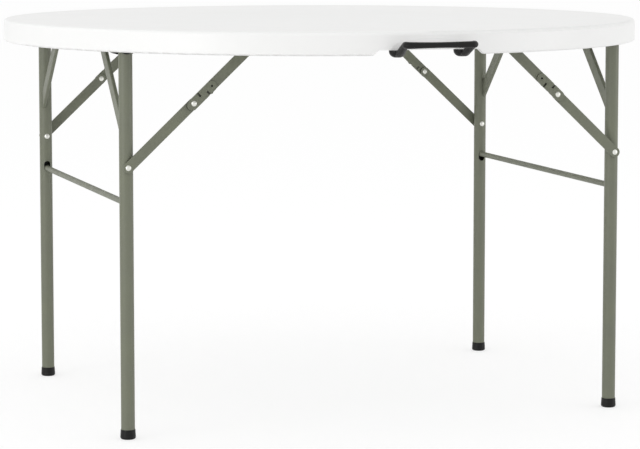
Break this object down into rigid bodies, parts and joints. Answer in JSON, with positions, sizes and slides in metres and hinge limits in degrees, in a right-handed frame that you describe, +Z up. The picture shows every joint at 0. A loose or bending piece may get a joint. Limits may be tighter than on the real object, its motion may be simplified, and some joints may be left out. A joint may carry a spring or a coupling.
{
  "type": "round folding table",
  "caption": "Round folding table: moulded plastic top with a carry handle, on two tubular steel leg frames that fold flat under it on locking braces.",
  "frame": {"origin": "on the floor under the middle of the round top", "axes": "+Z up; -Y is the front, where the carry handle is; +X to the right, along the line between the two leg frames"},
  "size_m": [1.2199, 1.2783, 0.737],
  "materials": {
    "white_plastic": "fine-grained moulded polyethylene",
    "black_plastic": "satin moulded plastic",
    "painted_steel": "grey-green powder coat",
    "zinc_steel": "bright zinc"
  },
  "bodies": {
    "top": {"tabletop": "white_plastic", "underside_panel": "white_plastic", "front_rail": "painted_steel", "back_rail": "painted_steel", "rail_screws": "zinc_steel", "bracket_screws": "zinc_steel", "rail_rivets": "zinc_steel", "handle": "black_plastic", "handle_screws": "zinc_steel", "left_front_bracket": "black_plastic", "left_back_bracket": "black_plastic", "right_front_bracket": "black_plastic", "right_back_bracket": "black_plastic"},
    "left_leg_frame": {"left_cross_tube": "painted_steel", "left_cross_tube_plugs": "black_plastic", "left_crossbar": "painted_steel", "left_leg_rivets": "zinc_steel", "left_front_leg": "painted_steel", "left_front_foot_cap": "black_plastic", "left_front_gusset": "painted_steel", "left_back_leg": "painted_steel", "left_back_foot_cap": "black_plastic", "left_back_gusset": "painted_steel"},
    "left_front_lower_brace": {"left_front_lower_link": "painted_steel", "left_front_middle_pin": "zinc_steel"},
    "left_front_upper_brace": {"left_front_upper_link": "painted_steel", "left_front_lock_plate": "painted_steel", "left_front_middle_rivet": "zinc_steel"},
    "left_back_lower_brace": {"left_back_lower_link": "painted_steel", "left_back_middle_pin": "zinc_steel"},
    "left_back_upper_brace": {"left_back_upper_link": "painted_steel", "left_back_lock_plate": "painted_steel", "left_back_middle_rivet": "zinc_steel"},
    "right_leg_frame": {"right_cross_tube": "painted_steel", "right_cross_tube_plugs": "black_plastic", "right_crossbar": "painted_steel", "right_leg_rivets": "zinc_steel", "right_front_leg": "painted_steel", "right_front_foot_cap": "black_plastic", "right_front_gusset": "painted_steel", "right_back_leg": "painted_steel", "right_back_foot_cap": "black_plastic", "right_back_gusset": "painted_steel"},
    "right_front_lower_brace": {"right_front_lower_link": "painted_steel", "right_front_middle_pin": "zinc_steel"},
    "right_front_upper_brace": {"right_front_upper_link": "painted_steel", "right_front_lock_plate": "painted_steel", "right_front_middle_rivet": "zinc_steel"},
    "right_back_lower_brace": {"right_back_lower_link": "painted_steel", "right_back_middle_pin": "zinc_steel"},
    "right_back_upper_brace": {"right_back_upper_link": "painted_steel", "right_back_lock_plate": "painted_steel", "right_back_middle_rivet": "zinc_steel"}
  },
  "joints": [
    {"name": "left_fold", "type": "hinge", "parent": "top", "child": "left_leg_frame", "pos_m": [-0.472, 0, 0.704], "axis": [0, -1, 0], "range_deg": [0, 90]},
    {"name": "left_front_lower_link_turn", "type": "hinge", "parent": "left_leg_frame", "child": "left_front_lower_brace", "pos_m": [-0.472, -0.34725, 0.49], "axis": [0, 1, 0], "range_deg": [0, 133.07]},
    {"name": "left_front_upper_link_turn", "type": "hinge", "parent": "top", "child": "left_front_upper_brace", "pos_m": [-0.243, -0.35005, 0.704], "axis": [0, -1, 0], "range_deg": [0, 136.95]},
    {"name": "left_back_lower_link_turn", "type": "hinge", "parent": "left_leg_frame", "child": "left_back_lower_brace", "pos_m": [-0.472, 0.34725, 0.49], "axis": [0, 1, 0], "range_deg": [0, 133.07]},
    {"name": "left_back_upper_link_turn", "type": "hinge", "parent": "top", "child": "left_back_upper_brace", "pos_m": [-0.243, 0.35005, 0.704], "axis": [0, -1, 0], "range_deg": [0, 136.95]},
    {"name": "right_fold", "type": "hinge", "parent": "top", "child": "right_leg_frame", "pos_m": [0.472, 0, 0.704], "axis": [0, 1, 0], "range_deg": [0, 83]},
    {"name": "right_front_lower_link_turn", "type": "hinge", "parent": "right_leg_frame", "child": "right_front_lower_brace", "pos_m": [0.472, -0.34725, 0.49], "axis": [0, -1, 0], "range_deg": [0, 124.68]},
    {"name": "right_front_upper_link_turn", "type": "hinge", "parent": "top", "child": "right_front_upper_brace", "pos_m": [0.243, -0.35005, 0.704], "axis": [0, 1, 0], "range_deg": [0, 128.44]},
    {"name": "right_back_lower_link_turn", "type": "hinge", "parent": "right_leg_frame", "child": "right_back_lower_brace", "pos_m": [0.472, 0.34725, 0.49], "axis": [0, -1, 0], "range_deg": [0, 124.68]},
    {"name": "right_back_upper_link_turn", "type": "hinge", "parent": "top", "child": "right_back_upper_brace", "pos_m": [0.243, 0.35005, 0.704], "axis": [0, 1, 0], "range_deg": [0, 128.44]}
  ],
  "couplings": [
    {"joint": "left_front_lower_link_turn", "follows": "left_fold", "ratio": 1.4785},
    {"joint": "left_front_upper_link_turn", "follows": "left_fold", "ratio": 1.5215},
    {"joint": "left_back_lower_link_turn", "follows": "left_fold", "ratio": 1.4785},
    {"joint": "left_back_upper_link_turn", "follows": "left_fold", "ratio": 1.5215},
    {"joint": "right_front_lower_link_turn", "follows": "right_fold", "ratio": 1.502},
    {"joint": "right_front_upper_link_turn", "follows": "right_fold", "ratio": 1.5473},
    {"joint": "right_back_lower_link_turn", "follows": "right_fold", "ratio": 1.502},
    {"joint": "right_back_upper_link_turn", "follows": "right_fold", "ratio": 1.5473}
  ]
}
